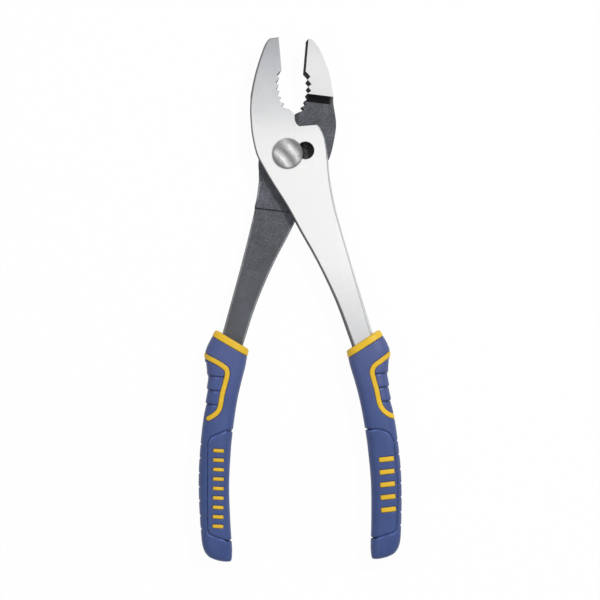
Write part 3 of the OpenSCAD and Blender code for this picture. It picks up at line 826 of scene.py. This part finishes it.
def brushed_steel(name, tint, span, levels, streaks=(3800, 420, 3800), metallic=0.8, roughness=0.36,
                  contrast=0.05, shade=None):
    """Ground steel: its level runs along a span of the tool, with fine streaks that the grinding left.
    With a shade, the edges that the painted light share picks stay bright, and the rest take that shade as
    painted shade."""
    material, tree, shader = material_tree(name)
    along = height_share(tree, 1, *span)
    # The level along the tool paints the fall-off of the steel's reflected light
    level = ramp(tree, along, [(at, dimmed(tint, v)) for at, v in levels])
    # Painted light and shade on the edges by the way they face
    if shade:
        level = mixed(tree, painted_light_side_share(tree), shade, level)
    grind = ramp(tree, along, GRINDING)
    fine = ramp(tree, noise(tree, streaks, 4.0, 0.65), [(0.3, 1.0 - 2 * contrast), (0.7, 1.0)])
    cloud = ramp(tree, noise(tree, (150, 60, 150)), [(0.3, 0.95), (0.7, 1.0)])
    base = product(tree, level, mixed(tree, grind, (1.0, 1.0, 1.0), fine),
                   mixed(tree, grind, (0.985, 0.985, 0.985), cloud))
    rough = ramp(tree, noise(tree, streaks), [(0.3, roughness - 0.02), (0.7, roughness + 0.02)])
    wire(tree, shader, Base_Color=base, Metallic=metallic, Roughness=rough)
    bumped(tree, shader, noise(tree, streaks, 4.0, 0.6), 0.015,
           maths(tree, "MULTIPLY", grind, 3.5 * contrast))
    return material


def domed_steel():
    """Steel of the bolt's head, ground one way: fine lines, two painted highlight bands along them that bend
    inwards at their upper ends, a faint cloud and painted shade on its rim, darker on the side towards the
    grips."""
    material, tree, shader = material_tree("ground_dome")
    radius = sizes().dome_d / 2 * MM
    x, y, off = round_place(tree, -DOME_GRIND)
    down = spread(tree, y, radius, -radius)
    place = maths(tree, "ADD", spread(tree, x, -radius, radius), ramp(tree, down, DOME_BEND))
    level = mixed(tree, ramp(tree, down, DOME_FADE), (0.37, 0.37, 0.375), ramp(tree, place, DOME_PAINTED_HIGHLIGHTS))
    # Painted shade on the rim
    rim = spread(tree, off, 0.84 * radius, 0.97 * radius, last=0.85)
    level = mixed(tree, rim, level, ramp(tree, height_share(tree, 1, -5, 6), [(0.0, 0.2), (1.0, 0.42)]))
    lines = (3400, 380, 3400)
    fine = ramp(tree, noise(tree, lines, 4.0, 0.65, -DOME_GRIND), [(0.3, 0.84), (0.7, 1.08)])
    cloud = ramp(tree, noise(tree, 520, 3.0, 0.65), [(0.35, 0.84), (0.65, 1.12)])
    way = add(tree, "ShaderNodeVectorTransform", vector_type="VECTOR", convert_from="OBJECT",
              convert_to="WORLD")
    grind = math.radians(DOME_GRIND)
    way.inputs[0].default_value = (math.sin(grind), -math.cos(grind), 0)
    wire(tree, shader, Base_Color=product(tree, level, fine, cloud), Metallic=1.0, Roughness=0.6,
         Anisotropic=0.7, Tangent=way.outputs[0])
    bumped(tree, shader, noise(tree, lines, 4.0, 0.6, -DOME_GRIND), 0.015, 0.3)
    return material


def painted_shade_share(tree):
    """Where shade is painted: nearly 1 in the corner of the step below the joint and on the joint's face
    round the pivot, on the upper side of the half alone."""
    _, y, off = round_place(tree, sizes().half_turn)
    step = maths(tree, "ABSOLUTE", maths(tree, "ADD", y, STEP_DOWN * MM))
    corner = spread(tree, step, 0.28 * MM, 0.5 * MM, 0.95, 0.0)
    ring = spread(tree, off, 12.4 * MM, 13.4 * MM, 0.9, 0.0)
    return maths(tree, "MULTIPLY", maths(tree, "MAXIMUM", corner, ring), height_share(tree, 2, 5.5, 6.5))


def dark_steel(name, tint, roughness=0.5, speckle=0.5, metallic=0.2, gloss=0.25, joint=False, rim=None):
    """Dark forged steel with the small bright flecks that tumbling leaves, smoother down the shank. At a
    joint, painted shade darkens the step's corner and the face round the pivot, with lighter painted patches.
    A rim's tint, painted lighter, takes over towards the jaw's outer side."""
    material, tree, shader = material_tree(name)
    coarse = spread(tree, height_share(tree, 1, *SMOOTH_SPAN), 0.0, 1.0, 0.25)
    flecks = ramp(tree, noise(tree, 1500, 2.0, 0.7), [(0.57, 0.0), (0.72, 1.0)])
    cloud = ramp(tree, noise(tree, 260, 4.0, 0.65), [(0.32, 0.78), (0.68, 1.16)])
    grain = ramp(tree, noise(tree, 1100, 3.0, 0.7), [(0.32, 0.62), (0.68, 1.38)])
    heat = ramp(tree, noise(tree, (110, 75, 110), 2.0),
                [(0.35, (0.9, 0.88, 0.86)), (0.65, (1.06, 1.08, 1.13))])
    uneven = mixed(tree, coarse, (0.96, 0.96, 0.96), product(tree, cloud, grain))
    light = tuple(min(1.0, t * 2.2 + 0.06) for t in tint)
    share = maths(tree, "MULTIPLY", maths(tree, "MULTIPLY", flecks, coarse), speckle)
    base = mixed(tree, share, product(tree, tint, heat, uneven), light)
    # Painted shade in the step's corner and round the pivot
    if joint:
        painted_patches = ramp(tree, noise(tree, 420, 3.0, 0.6), [(0.5, PAINTED_SHADE), (0.68, PAINTED_SHADE_PATCH)])
        base = mixed(tree, painted_shade_share(tree), base, painted_patches)
    # A painted lighter end of a shaded wall
    if rim:
        base = mixed(tree, height_share(tree, 0, 19.8, 21.8), base, rim)
    rough = ramp(tree, flecks, [(0, roughness), (1, roughness - 0.12)])
    wire(tree, shader, Base_Color=base, Metallic=metallic, Specular_IOR_Level=gloss, Roughness=rough)
    bumped(tree, shader, noise(tree, 1300), 0.03, 0.5)
    return material


def moulded(name, tint, roughness, grain, depth, gloss, graded=None):
    """Moulded plastic or rubber with a fine spark-eroded grain. Graded lists shares of the tint, from the
    tool's end up to the collars, lighter towards the collars."""
    if name in bpy.data.materials:
        return bpy.data.materials[name]
    material, tree, shader = material_tree(name)
    if graded:
        stops = [(at, scaled(tint, share)) for at, share in graded]
        tint = ramp(tree, height_share(tree, 1, *GRIP_SPAN), stops)
    cloud = ramp(tree, noise(tree, 160), [(0.3, 0.93), (0.7, 1.05)])
    # The tone attribute multiplies painted shade and painted highlights into the colour
    tone = add(tree, "ShaderNodeAttribute", attribute_name="tone").outputs["Fac"]
    rough = ramp(tree, noise(tree, grain, 2.0), [(0.3, roughness - 0.05), (0.7, roughness + 0.07)])
    wire(tree, shader, Base_Color=product(tree, tint, cloud, tone), Roughness=rough, Specular_IOR_Level=gloss)
    bumped(tree, shader, noise(tree, grain, 3.0, 0.6), depth, 0.3)
    return material


def yellow_plastic():
    """Satin yellow of the cores."""
    return moulded("satin_yellow", tint_of("yellow"), 0.42, 1800, 0.006, 0.24)


def blue_rubber():
    """Matt blue of the sleeves and pads."""
    return moulded("matte_blue", tint_of("blue"), 0.48, 2400, 0.008, 0.26, BLUE_SHARES)


def seen_ray(tree):
    """1 for rays that show the background: straight to the camera, mirrored or through glass."""
    path = add(tree, "ShaderNodeLightPath").outputs
    seen = maths(tree, "MAXIMUM", path["Is Camera Ray"], path["Is Glossy Ray"])
    return maths(tree, "MAXIMUM", seen, path["Is Transmission Ray"])


class PLIERS_OT_halves(bpy.types.Operator):
    """Both steel halves: the bright one brushed, the dark one as forged, with a ground jaw face"""
    bl_idname = "pliers.halves"
    bl_label = "Steel halves"

    def execute(self, context):
        z = sizes()
        bright = tint_of("bright")
        face = brushed_steel("bright_face", scaled(bright, (1.01, 1.0, 0.985)), STEEL_SPAN, FACE_LEVELS)
        # Walls dark as painted shade over a dark finish; the walls facing right below the jaw take a painted
        # lit copy of the brushed steel
        wall = dark_steel("bright_wall", (0.1, 0.1, 0.106), 0.6, 0.05, 0.1, 0.1)
        # Bevelled edges: painted shade where they face away from the light, bright elsewhere
        edge_wear_and_painted_shade = brushed_steel("bright_edge", bright, STEEL_SPAN, [(0.0, 0.5), (0.65, 0.46), (1.0, 0.4)],
                             metallic=0.4, roughness=0.6, shade=(0.26, 0.26, 0.27))
        side = brushed_steel("bright_side", bright, STEEL_SPAN, [(0.0, 0.98), (0.3, 0.85), (1.0, 0.6)],
                             roughness=0.45)

        def front_faces(n, p):
            """Broad faces; walls, dark as painted shade over a dark finish; sloped edges; and the walls on
            the right below the jaw, painted as lit.
            """
            index = np.where(n[:, 2] > 0.9, 0, 1)
            index[(n[:, 2] > 0.35) & (n[:, 2] <= 0.9)] = 2
            index[(n[:, 2] <= 0.35) & (n[:, 0] > 0.3) & (p[:, 1] < 16)] = 3
            return index
        ground_copy("front_half", "front_half_steel", [face, wall, edge_wear_and_painted_shade, side], front_faces,
                    z.bright_bevel, lambda y, n: y > 6 and n.x > -0.3 and n.y < 0.8)
        dark = dark_steel("dark_face", tint_of("dark"), joint=True)
        # Near black as painted shade on the step and the jaw's inner walls, with a painted lighter end
        # towards the jaw's outer side
        step = dark_steel("dark_wall", (0.016, 0.016, 0.018), 0.7, 0.0, 0.0, 0.05, rim=(0.24, 0.24, 0.25))
        edge_wear_and_painted_shade = dark_steel("dark_edge", (0.23, 0.235, 0.245), 0.45, 0.9, joint=True)
        pad = brushed_steel("jaw_pad", scaled(bright, (0.785, 0.775, 0.765)), PAD_SPAN,
                            [(0.0, 0.9), (0.3, 1.0), (0.7, 1.0), (1.0, 0.92)], contrast=0.03)

        def back_faces(n, p):
            """The step under the ground face and the jaw's inner walls black as painted shade, the ground
            face bright.
            """
            index = np.zeros(len(n), int)
            wall = np.abs(n[:, 2]) < 0.6
            outer = wall & ((n[:, 0] > 0.3) | (n[:, 1] > 0.5))
            index[(p[:, 1] > 24) & (np.abs(n[:, 2]) < 0.985) & ~outer] = 1
            index[wall & (p[:, 1] > 5) & (n[:, 0] < 0.3) & (p[:, 1] < 24)] = 1
            index[(p[:, 2] > 13.6) & (n[:, 2] > 0.7)] = 3
            return index
        ground_copy("back_half", "back_half_steel", [dark, step, edge_wear_and_painted_shade, pad], back_faces,
                    z.dark_bevel, lambda y, n: y > -12)
        return {"FINISHED"}


class PLIERS_OT_pivot(bpy.types.Operator):
    """The domed bolt and its nut"""
    bl_idname = "pliers.pivot"
    bl_label = "Pivot"

    def execute(self, context):
        z = sizes()
        count = 144
        a = np.linspace(0, 2 * math.pi, count, endpoint=False)
        nut = brushed_steel("nut_steel", (0.42, 0.42, 0.43), (0, 20), [(0.0, 1.0), (1.0, 1.0)],
                            streaks=2500, metallic=1.0, roughness=0.42, contrast=0.12)

        def ring(r, height):
            """Points round the axis at one radius, or at one for each point."""
            return np.column_stack([r * np.cos(a), r * np.sin(a), np.full(count, height)])

        # Neck: a circle cut by two flats that lie along the slip slot
        turn = math.radians(z.half_turn + SLOT_TURN)
        neck = np.minimum(z.bolt_d / 2, z.flat_w / 2 / np.maximum(np.abs(np.sin(a - turn)), 1e-6))
        head = z.mid_z + PLATE_T + HEAD_PLAY
        cap = z.dome_h - z.dome_rim
        ball = (z.dome_d ** 2 / 4 + cap ** 2) / (2 * cap)
        rings = [ring(r, h) for r, h in (
            (z.stud_d / 2 - STUD_CHAMFER, 0.0), (z.stud_d / 2, STUD_CHAMFER), (z.stud_d / 2, z.nut_h),
            (z.bolt_d / 2, z.nut_h), (z.bolt_d / 2, z.mid_z), (neck, z.mid_z), (neck, head),
            (z.dome_d / 2 - DOME_CORNER, head), (z.dome_d / 2, head + DOME_CORNER),
            (z.dome_d / 2, head + z.dome_rim - DOME_CORNER))]
        edge = math.asin(z.dome_d / 2 / ball)
        rings += [ring(ball * math.sin(t), head + z.dome_h - ball * (1 - math.cos(t)))
                  for t in np.linspace(edge * 0.985, 0.01, 26)]
        lathe("pivot_bolt_steel", rings, "pivot_bolt", domed_steel())

        # Nut: hexagon whose corners a cone takes off at both ends
        phase = (a - math.radians(z.half_turn)) % (math.pi / 3) - math.pi / 6
        hexagon = z.nut_w / 2 / np.cos(phase)
        rings = [ring(np.minimum(hexagon, z.nut_w / 2 + 0.05 + min(h, z.nut_h - h) * 1.75), h)
                 for h in np.linspace(0, z.nut_h, 9)]
        bore = z.stud_d / 2 + NUT_PLAY
        rings += [ring(bore + NUT_CHAMFER, z.nut_h), ring(bore, z.nut_h - NUT_CHAMFER),
                  ring(bore, NUT_CHAMFER), ring(bore + NUT_CHAMFER, 0.0)]
        lathe("pivot_nut_steel", rings, "pivot_nut", nut, closed=True)
        return {"FINISHED"}


class PLIERS_OT_grips(bpy.types.Operator):
    """Both cushion grips: yellow core, blue sleeve and blue thumb pad"""
    bl_idname = "pliers.grips"
    bl_label = "Grips"

    def execute(self, context):
        build_grip(FRONT, ("front_grip_core", "front_grip_sleeve", "front_thumb_pad"))
        build_grip(BACK, ("back_grip_core", "back_grip_sleeve", "back_thumb_pad"))
        return {"FINISHED"}


class PLIERS_OT_stage(bpy.types.Operator):
    """White bench, soft lamps and the camera straight above"""
    bl_idname = "pliers.stage"
    bl_label = "Stage"

    def execute(self, context):
        scene = context.scene
        scene.view_settings.view_transform = "Standard"
        world = bpy.data.worlds.new("studio")
        scene.world = world
        world.use_nodes = True
        tree = world.node_tree
        wire(tree, tree.nodes["Background"], Color=(1, 1, 1),
             Strength=spread(tree, seen_ray(tree), 0.0, 1.0, 0.36))

        mesh = bpy.data.meshes.new("bench")
        corners = [(x * BENCH_HALF, y * BENCH_HALF, -BENCH_DROP)
                   for x, y in ((-1, -1), (1, -1), (1, 1), (-1, 1))]
        mesh.from_pydata(corners, [], [(0, 1, 2, 3)])
        bench = linked("bench", mesh)
        material, tree, shader = material_tree("bench_white")
        wire(tree, shader, Base_Color=(0.98, 0.98, 0.98), Roughness=0.9, Specular_IOR_Level=0.0)
        glow = add(tree, "ShaderNodeEmission")
        share = maths(tree, "MULTIPLY", seen_ray(tree), 0.97)
        blend = add(tree, "ShaderNodeMixShader", [(0, share), (1, shader.outputs[0]), (2, glow.outputs[0])])
        tree.links.new(blend.outputs[0], tree.nodes["Material Output"].inputs["Surface"])
        mesh.materials.append(material)

        for name, place, size, power in LAMPS:
            lamp = bpy.data.lights.new(name, "AREA")
            lamp.size = size
            lamp.energy = power
            holder = linked(name, lamp)
            holder.location = place
            aim = Vector(LAMP_AIM) - Vector(place)
            holder.rotation_euler = aim.to_track_quat("-Z", "Y").to_euler()

        lens = bpy.data.cameras.new("camera")
        lens.sensor_width = 36
        lens.lens = CAMERA_LENS
        lens.clip_end = 10
        scene.camera = linked("camera", lens)
        scene.camera.location = CAMERA_PLACE
        return {"FINISHED"}


class PLIERS_PT_panel(bpy.types.Panel):
    """Buttons for each group of pieces"""
    bl_label = "Slip joint pliers"
    bl_idname = "PLIERS_PT_panel"
    bl_space_type = "VIEW_3D"
    bl_region_type = "UI"
    bl_category = "Pliers"

    def draw(self, context):
        for kind in OPERATORS:
            self.layout.operator(kind.bl_idname)


OPERATORS = (PLIERS_OT_stage, PLIERS_OT_halves, PLIERS_OT_pivot, PLIERS_OT_grips)
CLASSES = (PliersSizes, PliersColours) + OPERATORS + (PLIERS_PT_panel,)


def register():
    for kind in CLASSES:
        bpy.utils.register_class(kind)
    bpy.types.Scene.pliers_sizes = bpy.props.PointerProperty(type=PliersSizes)
    bpy.types.Scene.pliers_colours = bpy.props.PointerProperty(type=PliersColours)


def unregister():
    del bpy.types.Scene.pliers_sizes
    del bpy.types.Scene.pliers_colours
    for kind in reversed(CLASSES):
        bpy.utils.unregister_class(kind)


def main():
    """Builds the scene."""
    register()
    bpy.ops.pliers.stage()
    bpy.ops.pliers.halves()
    bpy.ops.pliers.pivot()
    bpy.ops.pliers.grips()


if __name__ == "__main__":
    main()
